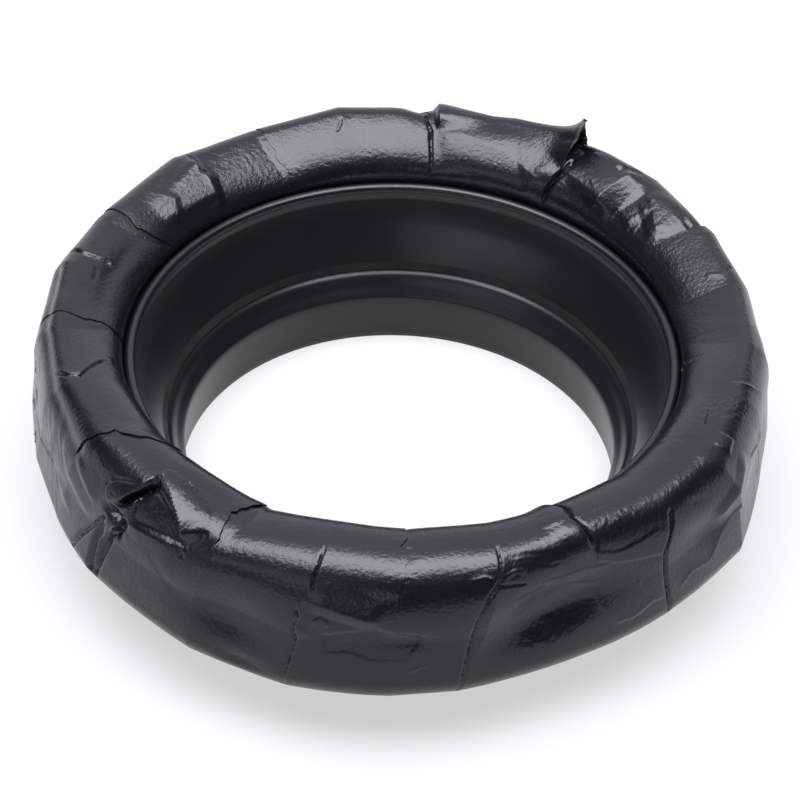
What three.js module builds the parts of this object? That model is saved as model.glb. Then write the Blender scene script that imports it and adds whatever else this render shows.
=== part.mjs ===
// Toilet pan seal: a soft moulded horn, a mastic ring cast round it, and a glossy film wound round the ring.
// Millimetres, +Z up. The origin is on the passage's axis, in the plane of the horn's lower rim.
import * as THREE from "three";

// Horn: inside radii and heights, from the mouth down to the lower rim
const MOUTH_RADIUS = 51.1;
const CONE_TOP_RADIUS = 49.7;
const CONE_TOP_Z = 24.2;
const SHELF_RADIUS = 44.7;
const SHELF_Z = 14.9;
const SKIRT_TOP_RADIUS = 41.5;
const SKIRT_TOP_Z = 11.4;
const RIM_RADIUS = 42.4;
const HORN_WALL = 1.5;
const BEAD_RADIUS = 1;
const BEAD_Z = 31;
const BEAD_WRAP_DEG = 20;
const BEAD_STEPS = 5;
const HORN_FILLET = 1.6;
const FILLET_ROOM = 0.45;
const HORN_SEGMENTS = 72;

// Clearances between pieces that touch on the real seal
const HORN_TO_RING = 0.3;
const FILM_TO_MASTIC = 0.3;
const FILM_TO_SPIGOT = 0.9;

// Film and the ring that it binds
const FILM_THICKNESS = 0.9;
const OUTER_RADIUS = 72;
const CREST_Z = 40;
const UNDERSIDE_Z = 11;
const FILM_EDGE_Z = 31.4;
const CREST_OFFSET_FRONT = 9.3;
const CREST_OFFSET_BACK = 11;
const SIDE_TOP_Z = 26;
const SIDE_BATTER = 0.9;
const WIDEST_Z = 16.5;
const HEEL_RUN = 5.5;
const INNER_SHOULDER_POWER_FRONT = 2.5;
const INNER_SHOULDER_POWER_BACK = 4;
const INNER_SLOPE_BACK = 0.5;
const SLOPE_CROWN = 1.25;
const OUTER_SHOULDER_POWER = 2.4;
const COLUMNS_PER_PANEL = 3;

// The ring is pressed flatter towards the horn at the back. The change runs between these sines of the angle.
const BACK_FROM_SINE = -0.3;
const BACK_TO_SINE = 0.5;

// Panels are nearly flat between folds, and go round where they meet the horn and under the ring
const PANEL_FLATNESS = 0.9;
const FLAT_FROM_STATION = 0.8;
const FLAT_TO_STATION = 3.6;
const ROUND_AGAIN_STATION = 4.2;

// A seam is a narrow step from one turn of film down to the next
const SEAM_WIDTH_DEG = 0.5;
const OVERLAP_STEP = 0.6;
const STEP_RUN_IN = 0.5;
const STEP_STARTS = 0.3;
const FREE_EDGE_STATION = 3;

// The loose tail of the film stands up from the outer shoulder beside its seam
const TAIL_RISE = 4.2;
const TAIL_RUN_DEG = 10;
const TAIL_MIDDLE = 1.45;
const TAIL_SPREAD = 0.75;

// Where the film turns a corner on its way round the ring. Angles are in degrees anticlockwise from +X:
// at the inner edge, on the crest, at the top of the side and at the heel. Then how far the ring stands out
// and up there from its nominal size, and what the fold is: a seam between two turns, or a bend inside one.
const FOLDS = [
  { at: [5, -1.5, 0, 0], out: -1, up: -1, kind: "seam" },
  { at: [15, 14, 17, 17], out: -1, up: -1, kind: "bend" },
  { at: [31.5, 26.5, 28, 28], out: -1.5, up: 1, kind: "seam" },
  { at: [44, 43, 43, 43], out: -1, up: 1.5, kind: "bend" },
  { at: [61, 58.5, 57, 57], out: -2.5, up: 3, kind: "tail" },
  { at: [63, 70, 76, 76], out: -1.5, up: 2, kind: "bend" },
  { at: [85, 86.5, 90, 90], out: -0.5, up: 1, kind: "seam" },
  { at: [103, 103, 104, 104], out: -0.5, up: 1.5, kind: "bend" },
  { at: [115, 119.4, 119, 119], out: -1, up: -0.5, kind: "seam" },
  { at: [134, 134.8, 135, 135], out: -0.5, up: 0.5, kind: "bend" },
  { at: [148, 156, 151, 150], out: -1.5, up: -0.5, kind: "seam" },
  { at: [167, 169, 167, 167], out: -0.5, up: 0.5, kind: "bend" },
  { at: [180, 185.5, 181, 181], out: -1, up: -0.5, kind: "seam" },
  { at: [196, 201, 196, 194], out: -1.5, up: 0.5, kind: "bend" },
  { at: [221, 216, 210.5, 208], out: -1, up: 1.5, kind: "seam" },
  { at: [231, 229, 222, 218], out: 0, up: 3.5, kind: "bend" },
  { at: [247, 245.3, 240.5, 240], out: 2, up: -1.5, kind: "seam" },
  { at: [260, 259.8, 257.5, 255.5], out: 2.5, up: 1, kind: "bend" },
  { at: [272, 271.6, 270.3, 270], out: 1.5, up: 0, kind: "seam" },
  { at: [287, 287, 284, 280], out: 1, up: 0.5, kind: "bend" },
  { at: [297, 298, 302, 304], out: -1.5, up: 0.5, kind: "seam" },
  { at: [317, 316.5, 314.4, 315.3], out: -1, up: -0.5, kind: "bend" },
  { at: [333, 327, 332, 333], out: 0.5, up: 0, kind: "seam" },
  { at: [345, 344, 347, 348], out: -1.5, up: -0.5, kind: "bend" },
];

// Dents pressed into the film and the mastic under it: where, how wide and how deep
const DENTS = [
  { angle: 219, station: 1.9, width: 7, span: 0.7, depth: 2.2 },
  { angle: 242, station: 2.7, width: 9, span: 0.5, depth: 1.6 },
  { angle: 268, station: 2.6, width: 8, span: 0.5, depth: 1.1 },
  { angle: 350, station: 1.9, width: 6, span: 0.6, depth: 1.2 },
];

// Stations along the section: 0 is the film's inner edge, 1 the crest, 2 the top of the side,
// 3 the widest height, 4 the outer edge of the underside and 5 its inner edge
const STATIONS = [0, 0.25, 0.5, 0.75, 1, 1.22, 1.45, 1.7, 2, 2.5, 3, 3.35, 3.7, 4, 5];

const radians = THREE.MathUtils.degToRad;
const { lerp, smoothstep } = THREE.MathUtils;

const beadCentreRadius = MOUTH_RADIUS + HORN_WALL / 2;
const ringInnerRadius = beadCentreRadius + Math.max(BEAD_RADIUS, HORN_WALL / 2) + HORN_TO_RING;
const foldCount = FOLDS.length;

// Degrees from one angle on to the next, anticlockwise
const degreesOn = (from, to) => (((to - from) % 360) + 360) % 360;

// A corner of the horn's wall carried out by the wall's thickness, square to both stretches
function offsetCorner(before, corner, after, distance) {
  const normal = (from, to) => {
    const along = new THREE.Vector2().subVectors(to, from).normalize();
    return new THREE.Vector2(-along.y, along.x);
  };
  const first = normal(before, corner);
  const second = normal(corner, after);
  const share = distance / (1 + first.dot(second));
  return corner.clone().add(first.add(second).multiplyScalar(share));
}

// Points of an arc that rounds the corner between two straight stretches
function roundedCorner(before, corner, after, radius, steps) {
  const toBefore = new THREE.Vector2().subVectors(before, corner);
  const toAfter = new THREE.Vector2().subVectors(after, corner);
  const room = Math.min(toBefore.length(), toAfter.length()) * FILLET_ROOM;
  const halfAngle = toBefore.angleTo(toAfter) / 2;
  const cut = Math.min(radius / Math.tan(halfAngle), room);
  const start = corner.clone().addScaledVector(toBefore.normalize(), cut);
  const end = corner.clone().addScaledVector(toAfter.normalize(), cut);
  return new THREE.QuadraticBezierCurve(start, corner, end).getPoints(steps);
}

// The horn's wall as profiles of radius and height: inside, outside, and round both and the bead
function hornProfiles() {
  const mouthZ = BEAD_Z - BEAD_RADIUS;
  const inner = [
    new THREE.Vector2(MOUTH_RADIUS, mouthZ),
    new THREE.Vector2(CONE_TOP_RADIUS, CONE_TOP_Z),
    new THREE.Vector2(SHELF_RADIUS, SHELF_Z),
    new THREE.Vector2(SKIRT_TOP_RADIUS, SKIRT_TOP_Z),
    new THREE.Vector2(RIM_RADIUS, 0),
  ];
  const outer = inner.map((corner, i) => {
    if (i === 0) return new THREE.Vector2(MOUTH_RADIUS + HORN_WALL, mouthZ);
    if (i === inner.length - 1) return new THREE.Vector2(RIM_RADIUS + HORN_WALL, 0);
    return offsetCorner(inner[i - 1], corner, inner[i + 1], HORN_WALL);
  });
  const smoothed = (wall) => wall.flatMap((corner, i) => {
    if (i === 0 || i === wall.length - 1) return [corner];
    return roundedCorner(wall[i - 1], corner, wall[i + 1], HORN_FILLET, 2);
  });
  const bead = [];
  for (let i = 0; i <= BEAD_STEPS; i += 1) {
    const angle = radians(lerp(-BEAD_WRAP_DEG, 180 + BEAD_WRAP_DEG, i / BEAD_STEPS));
    bead.push(new THREE.Vector2(
      beadCentreRadius + BEAD_RADIUS * Math.cos(angle),
      BEAD_Z + BEAD_RADIUS * Math.sin(angle),
    ));
  }
  const outside = smoothed(outer);
  const wall = [...[...outside].reverse(), ...bead, ...smoothed(inner)];
  return { outside, whole: [...wall, wall[0].clone()] };
}

const hornWall = hornProfiles();

// The horn's largest outside radius at a height
function hornOuterRadius(z) {
  const radii = hornWall.whole.slice(1).flatMap((low, i) => {
    const high = hornWall.whole[i];
    if (z > Math.max(high.y, low.y) || z < Math.min(high.y, low.y)) return [];
    return [high.y === low.y ? high.x : lerp(low.x, high.x, (z - low.y) / (high.y - low.y))];
  });
  return Math.max(...radii);
}

const undersideInnerRadius = Math.max(
  hornOuterRadius(UNDERSIDE_Z),
  hornOuterRadius(UNDERSIDE_Z + FILM_THICKNESS),
) + FILM_TO_SPIGOT;

// Radius and height on the ring's section, set in from the film's outer face by inset.
// The share of back is 0 at the front of the ring and 1 at its back.
function sectionPoint(station, reach, height, inset, back) {
  const stretch = Math.min(Math.floor(station), 4);
  const part = station - stretch;
  const cos = Math.cos(part * Math.PI / 2);
  const sin = Math.sin(part * Math.PI / 2);
  const crestOffset = lerp(CREST_OFFSET_FRONT, CREST_OFFSET_BACK, back);
  const crest = ringInnerRadius + crestOffset;
  const top = height - inset;
  const side = reach - inset;
  if (stretch === 0) {
    const power = 2 / lerp(INNER_SHOULDER_POWER_FRONT, INNER_SHOULDER_POWER_BACK, back);
    const run = crestOffset - inset;
    const slope = run * INNER_SLOPE_BACK * back;
    const shoulder = (top - FILM_EDGE_Z - slope) * sin ** power;
    return [crest - run * cos ** power, FILM_EDGE_Z + shoulder + slope * (1 - cos ** (power * SLOPE_CROWN))];
  }
  if (stretch === 1) {
    const power = 2 / OUTER_SHOULDER_POWER;
    const run = side - SIDE_BATTER - crest;
    return [crest + run * sin ** power, SIDE_TOP_Z + (top - SIDE_TOP_Z) * Math.max(cos, 0) ** power];
  }
  if (stretch === 2) {
    return [side - SIDE_BATTER * (1 - part), lerp(SIDE_TOP_Z, WIDEST_Z, part)];
  }
  if (stretch === 3) {
    const drop = WIDEST_Z - UNDERSIDE_Z - inset;
    return [side - (HEEL_RUN - inset) * (1 - cos), WIDEST_Z - drop * sin];
  }
  return [lerp(reach - HEEL_RUN, undersideInnerRadius, part), UNDERSIDE_Z + inset];
}

// A fold's angle at a station, between the four that it is given at
function foldAngle(fold, station) {
  const last = fold.at.length - 1;
  const place = Math.min(station, last);
  const below = Math.min(Math.floor(place), last - 1);
  return lerp(fold.at[below], fold.at[below + 1], place - below);
}

// How far the film and the mastic are pressed in at an angle and station
function dentDepth(angle, station) {
  return DENTS.reduce((depth, dent) => {
    const across = (degreesOn(dent.angle - 180, angle) - 180) / dent.width;
    const along = (station - dent.station) / dent.span;
    const away = Math.hypot(across, along);
    return depth + dent.depth * (1 - smoothstep(away, 0, 1));
  }, 0);
}

// How far the film stands off at a fold: a seam's turn ends on top of the next, and the tail stands loose
function foldRise(fold, side, station) {
  const fromEdges = Math.min(station, FREE_EDGE_STATION - station);
  if (fromEdges <= 0) return 0;
  const step = OVERLAP_STEP * Math.min(1, fromEdges / STEP_RUN_IN);
  if (fold.kind === "seam" && side < 0) return step;
  if (fold.kind === "tail" && side > 0) {
    const away = Math.abs(station - TAIL_MIDDLE) / TAIL_SPREAD;
    return step + TAIL_RISE * (1 - smoothstep(away, 0, 1));
  }
  return 0;
}

// One point of a ring surface, part way from one fold to the next
function ringPoint(index, part, station, inset) {
  const from = FOLDS[index];
  const to = FOLDS[(index + 1) % foldCount];
  const start = foldAngle(from, station);
  const turn = degreesOn(start, foldAngle(to, station));
  const angle = start + turn * part;
  const reach = OUTER_RADIUS + lerp(from.out, to.out, part);
  const height = CREST_Z + lerp(from.up, to.up, part);
  const back = smoothstep(Math.sin(radians(angle)), BACK_FROM_SINE, BACK_TO_SINE);
  const [radius, z] = sectionPoint(station, reach, height, inset, back);
  const leavesHorn = smoothstep(station, 0, FLAT_FROM_STATION);
  const turnsUnder = smoothstep(station, FLAT_TO_STATION, ROUND_AGAIN_STATION);
  const flatness = PANEL_FLATNESS * leavesHorn * (1 - turnsUnder);
  const chord = Math.cos(radians(turn / 2)) / Math.cos(radians(turn * (part - 1 / 2)));
  const pressed = dentDepth(angle, station);
  const drawn = radius * lerp(1, chord, flatness) - pressed;
  return new THREE.Vector3(drawn * Math.cos(radians(angle)), drawn * Math.sin(radians(angle)), z);
}

// The columns that a ring surface is made on: two at each seam, one at each bend, and some between
function ringColumns() {
  const columns = [];
  FOLDS.forEach((fold, index) => {
    const next = FOLDS[(index + 1) % foldCount];
    const notch = SEAM_WIDTH_DEG / degreesOn(fold.at[1], next.at[1]);
    const split = fold.kind !== "bend";
    columns.push({ index, part: 0, fold, side: split ? -1 : 0 });
    if (split) columns.push({ index, part: notch, fold, side: 1 });
    for (let i = 1; i < COLUMNS_PER_PANEL; i += 1) {
      columns.push({ index, part: i / COLUMNS_PER_PANEL, fold: null, side: 0 });
    }
  });
  return columns;
}

// The film's rise at a column. Beside the loose tail it falls away over the length of the tail.
function filmRise(column, station) {
  if (column.fold) return foldRise(column.fold, column.side, station);
  const from = FOLDS[column.index];
  const to = FOLDS[(column.index + 1) % foldCount];
  const past = column.part * degreesOn(from.at[1], to.at[1]);
  const tail = foldRise(from, 1, station) * (1 - smoothstep(past, 0, TAIL_RUN_DEG));
  const seam = foldRise(to, -1, station) * smoothstep(column.part, STEP_STARTS, 1);
  return tail + seam;
}

// A closed body from loops of points, one loop a column, joined to each other all the way round.
// Faces that lie against each other are split on the same diagonal, so that the gap between them stays even.
function loopedBody(loops, splitBack) {
  const perLoop = loops[0].length;
  const positions = loops.flat().flatMap((point) => point.toArray());
  const indices = [];
  loops.forEach((loop, i) => {
    const next = (i + 1) % loops.length;
    for (let j = 0; j < perLoop; j += 1) {
      const after = (j + 1) % perLoop;
      const a = i * perLoop + j;
      const b = next * perLoop + j;
      const c = next * perLoop + after;
      const d = i * perLoop + after;
      if (splitBack) indices.push(a, b, d, b, c, d);
      else indices.push(a, b, c, a, c, d);
    }
  });
  const geometry = new THREE.BufferGeometry();
  geometry.setAttribute("position", new THREE.Float32BufferAttribute(positions, 3));
  geometry.setIndex(indices);
  geometry.computeVertexNormals();
  return geometry;
}

// The film: an open channel section, from the horn's bead over the ring and in under it
function filmGeometry() {
  const loops = ringColumns().map((column) => {
    const outside = STATIONS.map((station) => {
      const rise = filmRise(column, station);
      return ringPoint(column.index, column.part, station, -rise);
    });
    const inside = STATIONS.map((station) => {
      const rise = Math.max(filmRise(column, station) - OVERLAP_STEP, 0);
      return ringPoint(column.index, column.part, station, FILM_THICKNESS - rise);
    });
    return [...outside, ...inside.reverse()].reverse();
  });
  return loopedBody(loops, true);
}

// The mastic: fills the film's channel and closes on the outside of the horn
function masticGeometry() {
  const inset = FILM_THICKNESS + FILM_TO_MASTIC;
  const floorZ = UNDERSIDE_Z + inset;
  const topZ = FILM_EDGE_Z - FILM_TO_MASTIC;
  const clearance = HORN_TO_RING * Math.SQRT2;
  const bends = hornWall.outside.map((corner) => corner.y).filter((z) => z > floorZ && z < topZ - clearance);
  const innerWall = [floorZ, ...bends.reverse(), topZ].map((z) => [hornOuterRadius(z) + clearance, z]);
  innerWall.push([ringInnerRadius + inset, topZ]);
  const columns = ringColumns().filter((column) => column.side <= 0);
  const loops = columns.map(({ index, part }) => {
    const outside = STATIONS.slice(0, -1).map((station) => ringPoint(index, part, station, inset));
    const bearing = Math.atan2(outside[0].y, outside[0].x);
    const inside = innerWall.map(([radius, z]) => new THREE.Vector3(
      radius * Math.cos(bearing),
      radius * Math.sin(bearing),
      z,
    ));
    return [...outside, ...inside].reverse();
  });
  return loopedBody(loops, false);
}

const glossyFilm = new THREE.MeshStandardMaterial({ color: 0x151416, roughness: 0.22, metalness: 0 });
const softHorn = new THREE.MeshStandardMaterial({ color: 0x1a1a1b, roughness: 0.48, metalness: 0 });
const tackyMastic = new THREE.MeshStandardMaterial({ color: 0x0d0d0e, roughness: 0.7, metalness: 0 });

const seal = new THREE.Group();

const horn = new THREE.Mesh(new THREE.LatheGeometry(hornWall.whole, HORN_SEGMENTS), softHorn);
horn.name = "inner_horn";
horn.rotation.x = Math.PI / 2;
seal.add(horn);

const mastic = new THREE.Mesh(masticGeometry(), tackyMastic);
mastic.name = "mastic_ring";
seal.add(mastic);

const film = new THREE.Mesh(filmGeometry(), glossyFilm);
film.name = "film_wrap";
seal.add(film);

export default seal;
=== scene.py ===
"""Toilet pan seal: a soft horn with a mastic ring round it, bound in turns of glossy black film."""

from math import cos, pi, radians, sin, tau

import bpy
import numpy as np
from mathutils import Matrix, Vector


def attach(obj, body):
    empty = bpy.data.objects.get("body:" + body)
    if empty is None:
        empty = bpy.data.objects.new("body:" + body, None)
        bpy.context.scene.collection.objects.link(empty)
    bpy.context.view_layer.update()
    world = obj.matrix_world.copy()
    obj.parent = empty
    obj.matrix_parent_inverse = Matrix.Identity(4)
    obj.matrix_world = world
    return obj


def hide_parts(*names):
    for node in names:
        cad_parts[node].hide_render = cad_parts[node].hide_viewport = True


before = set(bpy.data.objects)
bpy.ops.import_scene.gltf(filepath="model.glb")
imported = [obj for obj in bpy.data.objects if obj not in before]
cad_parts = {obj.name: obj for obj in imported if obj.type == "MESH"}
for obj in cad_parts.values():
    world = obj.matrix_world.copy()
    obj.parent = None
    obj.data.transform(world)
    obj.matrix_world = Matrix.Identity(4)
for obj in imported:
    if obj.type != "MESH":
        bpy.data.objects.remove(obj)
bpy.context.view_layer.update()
MM = 0.001


# Inner horn
# A flexible rubber moulding with a thin wall: a mouth with a rounded bead, a cone down to a
# narrow shelf, and a short skirt that runs down into the soil pipe. It is moulded in one piece.

# Radius and height up the inside of the wall, from the lower rim to the mouth
HORN_PROFILE = [
    (42.40, 0.0), (42.05, 3.8), (41.70, 8.0), (41.60, 10.4), (42.15, 11.5), (43.00, 12.6),
    (43.70, 13.8), (44.25, 14.6), (44.95, 15.2), (45.55, 16.1), (46.70, 18.4), (48.50, 21.9),
    (49.45, 23.8), (50.05, 25.3), (50.60, 26.9), (51.20, 29.2),
]
HORN_WALL = 1.5
BEAD_CENTRE = (51.85, 31.0)
BEAD_RADIUS = 1.02
BEAD_FROM, BEAD_TO = 205, -25
HORN_SIDES = 360
RUBBER_COLOUR = (0.0048, 0.0048, 0.0054, 1.0)
RUBBER_ROUGHNESS = 0.31
RUBBER_SHEEN = 0.38


def smooth_curve(points, steps):
    """Points of a curve that passes through each given point, with so many steps between two."""
    points = [np.array(p, float) for p in points]
    curve = []
    for i in range(len(points) - 1):
        before, start = points[max(i - 1, 0)], points[i]
        end, after = points[i + 1], points[min(i + 2, len(points) - 1)]
        for t in np.linspace(0, 1, steps, endpoint=False):
            curve.append(0.5 * (2 * start + (end - before) * t
                                + (2 * before - 5 * start + 4 * end - after) * t ** 2
                                + (3 * start - before - 3 * end + after) * t ** 3))
    return np.array(curve + [points[-1]])


def closed_mesh(name, vertices, faces):
    """A smooth-shaded mesh object from vertices in millimetres."""
    mesh = bpy.data.meshes.new(name)
    mesh.from_pydata((np.asarray(vertices) * MM).tolist(), [], faces)
    mesh.shade_smooth()
    mesh.update()
    piece = bpy.data.objects.new(name, mesh)
    bpy.context.scene.collection.objects.link(piece)
    return piece


def horn_section():
    """The closed outline of the horn's wall: up the inside, over the bead and down the outside."""
    inside = smooth_curve(HORN_PROFILE, 3)
    along = np.gradient(inside, axis=0)
    along /= np.linalg.norm(along, axis=1)[:, None]
    outside = inside + HORN_WALL * np.stack([along[:, 1], -along[:, 0]], -1)
    turn = np.radians(np.linspace(BEAD_FROM, BEAD_TO, 21))
    bead = np.array(BEAD_CENTRE) + BEAD_RADIUS * np.stack([np.cos(turn), np.sin(turn)], -1)
    return np.concatenate([inside, bead, outside[::-1]])


def lathe(name, section, sides):
    """A ring of revolution from a closed section of radius and height."""
    turn = np.linspace(0, tau, sides, endpoint=False)[:, None]
    radius, height = section[:, 0], section[:, 1]
    vertices = np.stack([radius * np.cos(turn), radius * np.sin(turn), height + 0 * turn], -1)
    count = len(section)
    faces = []
    for i in range(sides):
        near, far = i * count, (i + 1) % sides * count
        faces += [(near + j, near + (j + 1) % count, far + (j + 1) % count, far + j) for j in range(count)]
    return closed_mesh(name, vertices.reshape(-1, 3), faces)


def new_material(name):
    """A material with nodes, its node tree and its Principled BSDF."""
    material = bpy.data.materials.new(name)
    material.use_nodes = True
    return material, material.node_tree, material.node_tree.nodes["Principled BSDF"]


def surface_noise(name, outputs):
    """A group that puts out fine and broad noise over the surface, each scaled by its own input."""
    group = bpy.data.node_groups.new(name, "ShaderNodeTree")
    sources = group.nodes.new("NodeGroupInput")
    results = group.nodes.new("NodeGroupOutput")
    place = group.nodes.new("ShaderNodeTexCoord")
    for label, detail in outputs:
        group.interface.new_socket(label + " scale", in_out="INPUT", socket_type="NodeSocketFloat")
        group.interface.new_socket(label, in_out="OUTPUT", socket_type="NodeSocketFloat")
        noise = group.nodes.new("ShaderNodeTexNoise")
        noise.inputs["Detail"].default_value = detail
        group.links.new(place.outputs["Object"], noise.inputs["Vector"])
        group.links.new(sources.outputs[label + " scale"], noise.inputs["Scale"])
        group.links.new(noise.outputs["Fac"], results.inputs[label])
    return group


grain = surface_noise("surface_grain", [("Fine", 2.0), ("Broad", 3.0)])


def add_grain(tree, fine, broad):
    """The grain group placed in a material, with its own two scales."""
    node = tree.nodes.new("ShaderNodeGroup")
    node.node_tree = grain
    node.inputs["Fine scale"].default_value = fine
    node.inputs["Broad scale"].default_value = broad
    return node


def spread(tree, value, low, high, to_low, to_high):
    """A value between low and high spread over another range, and kept inside it."""
    node = tree.nodes.new("ShaderNodeMapRange")
    tree.links.new(value, node.inputs["Value"])
    for label, number in (("From Min", low), ("From Max", high), ("To Min", to_low), ("To Max", to_high)):
        node.inputs[label].default_value = number
    return node.outputs["Result"]


def add_bump(tree, shader, height, strength, distance):
    """A bump on a shader, from a height that varies over the surface."""
    node = tree.nodes.new("ShaderNodeBump")
    node.inputs["Strength"].default_value = strength
    node.inputs["Distance"].default_value = distance
    tree.links.new(height, node.inputs["Height"])
    tree.links.new(node.outputs["Normal"], shader.inputs["Normal"])


def horn_rubber():
    """Satin black rubber, a little cloudy from the mould."""
    material, tree, shader = new_material("horn_rubber")
    noise = add_grain(tree, fine=2600, broad=60)
    shader.inputs["Base Color"].default_value = RUBBER_COLOUR
    shader.inputs["Specular IOR Level"].default_value = RUBBER_SHEEN
    cloudy = spread(tree, noise.outputs["Broad"], 0.3, 0.7, RUBBER_ROUGHNESS - 0.03, RUBBER_ROUGHNESS + 0.04)
    tree.links.new(cloudy, shader.inputs["Roughness"])
    add_bump(tree, shader, noise.outputs["Fine"], 0.12, 0.0001)
    return material


horn = lathe("horn", horn_section(), HORN_SIDES)
horn.data.materials.append(horn_rubber())
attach(horn, "root")
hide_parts("inner_horn")


# Mastic ring
# A heavy ring of tacky, dull black mastic, cast round the horn and faceted by the pull of the film.
# The film hides it. It lies a little deeper than the film's dents, so none of them cuts into it.

INNER_EDGE = (53.15, 31.4)
REACH, CREST_Z = 72.0, 40.0
SIDE_TOP_Z, WIDEST_Z, UNDERSIDE_Z = 26.0, 16.5, 11.0
SIDE_BATTER, HEEL_RUN = 0.9, 5.5
UNDERSIDE_INNER_RADIUS = 44.9
OUTER_SHOULDER_POWER = 2.4
SLOPE_CROWN = 1.25

# The section at the front and at the back, and the sines of the angle where one turns into the other
INNER_SHOULDER_POWER = (2.5, 4.0)
CREST_OFFSET = (9.3, 11.0)
INNER_SLOPE = (0.0, 0.5)
BACK_SINES = (-0.6, 0.3)

# How flat the film draws the ring between its folds, from one station to another. At the front the
# side is rounder, from one sine of the angle to another.
PANEL_FLATNESS = 0.9
FLAT_FROM, FLAT_TO = (0, 0.8), (3.6, 4.2)
SIDE_ROUNDING = 0.55
ROUNDER_SINES, ROUNDER_STATIONS = (0.2, 0.7), (1.7, 2.6)

# The two folds of each turn, where it starts and where it bends: their angle at the inner edge, on
# the crest, at the top of the side and at the heel, then how far the ring stands out and up there
FOLDS = [
    ((5, -1.5, 0, 0), -1, -1), ((15, 14, 17, 17), -1, -1),
    ((31.5, 26.5, 28, 28), -1.5, 1), ((44, 43, 43, 43), -1, 1.5),
    ((61, 58.5, 57, 57), -2.5, 3), ((63, 70, 76, 76), -1.5, 2),
    ((85, 86.5, 90, 90), -0.5, 1), ((103, 103, 104, 104), -0.5, 1.5),
    ((115, 119.4, 119, 119), -1, -0.5), ((134, 134.8, 135, 135), -0.5, 0.5),
    ((148, 156, 151, 150), -1.5, -0.5), ((167, 169, 167, 167), -0.5, 0.5),
    ((180, 185.5, 181, 181), -1, -0.5), ((196, 201, 196, 194), -1.5, 0.5),
    ((221, 216, 210.5, 208), -1, 1.5), ((231, 229, 222, 218), 0, 1.6),
    ((247, 245.3, 240.5, 240), 1.4, -1.0), ((260, 259.8, 257.5, 255.5), 2.1, 1),
    ((272, 271.6, 270.3, 270), 1.5, 0), ((287, 287, 284, 280), 0.6, 0.5),
    ((297, 298, 302, 304), -1.5, 0.5), ((317, 316.5, 314.4, 315.3), -1, -0.5),
    ((333, 327, 332, 333), 0.5, 0), ((345, 344, 347, 348), -1.5, -0.5),
]


def lerp(low, high, share):
    """The value at a share of the way from low to high."""
    return low + (high - low) * share


def ease(value, low, high):
    """0 up to low, 1 from high, and a smooth rise between them."""
    share = np.clip((value - low) / (high - low), 0, 1)
    return share * share * (3 - 2 * share)


def ring_section(station, reach, height, angle):
    """Radius and height on the ring's section. Station 0 is the film's inner edge, 1 the crest, 2 the
    top of the side, 3 the widest height, 4 and 5 the outer and inner edges of the underside."""
    back = ease(np.sin(np.radians(angle)), *BACK_SINES)
    crest_offset = lerp(*CREST_OFFSET, back)
    crest = INNER_EDGE[0] + crest_offset
    slope = crest_offset * lerp(*INNER_SLOPE, back)
    inner = 2 / lerp(*INNER_SHOULDER_POWER, back)
    outer = 2 / OUTER_SHOULDER_POWER
    stretch = np.minimum(np.floor(station), 4)
    part = station - stretch
    c, s = np.abs(np.cos(part * pi / 2)), np.abs(np.sin(part * pi / 2))
    which = [stretch == 0, stretch == 1, stretch == 2, stretch == 3]
    radius = np.select(which, [
        crest - crest_offset * c ** inner,
        crest + (reach - SIDE_BATTER - crest) * s ** outer,
        reach - SIDE_BATTER * (1 - part),
        reach - HEEL_RUN * (1 - c),
    ], lerp(reach - HEEL_RUN, UNDERSIDE_INNER_RADIUS, part))
    sloping = slope * (1 - c ** (inner * SLOPE_CROWN))
    z = np.select(which, [
        INNER_EDGE[1] + (height - INNER_EDGE[1] - slope) * s ** inner + sloping,
        SIDE_TOP_Z + (height - SIDE_TOP_Z) * c ** outer,
        lerp(SIDE_TOP_Z, WIDEST_Z, part),
        WIDEST_Z - (WIDEST_Z - UNDERSIDE_Z) * s,
    ], UNDERSIDE_Z + 0 * part)
    return radius, z


# Runs along the film are measured on the ring's plain section at its right-hand side
section_stations = np.linspace(0, 5, 2001)
section_shape = np.stack(ring_section(section_stations, REACH, height=CREST_Z + 0.5, angle=10.0), -1)
section_runs = np.r_[0, np.cumsum(np.linalg.norm(np.diff(section_shape, axis=0), axis=1))]
FULL_RUN = section_runs[-1]


def station_of(run):
    """Station at a distance in millimetres along the section from the film's inner edge."""
    return np.interp(run, section_runs, section_stations)


fold_corners = np.array([fold[0] for fold in FOLDS], float)
fold_reach = REACH + np.array([fold[1] for fold in FOLDS])
fold_height = CREST_Z + np.array([fold[2] for fold in FOLDS])


def fold_angles(station):
    """Each fold's angle at each station, one column a fold."""
    place = np.minimum(station, 3)
    below = np.minimum(np.floor(place), 2).astype(int)
    return lerp(fold_corners[:, below], fold_corners[:, below + 1], place - below).T


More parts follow.
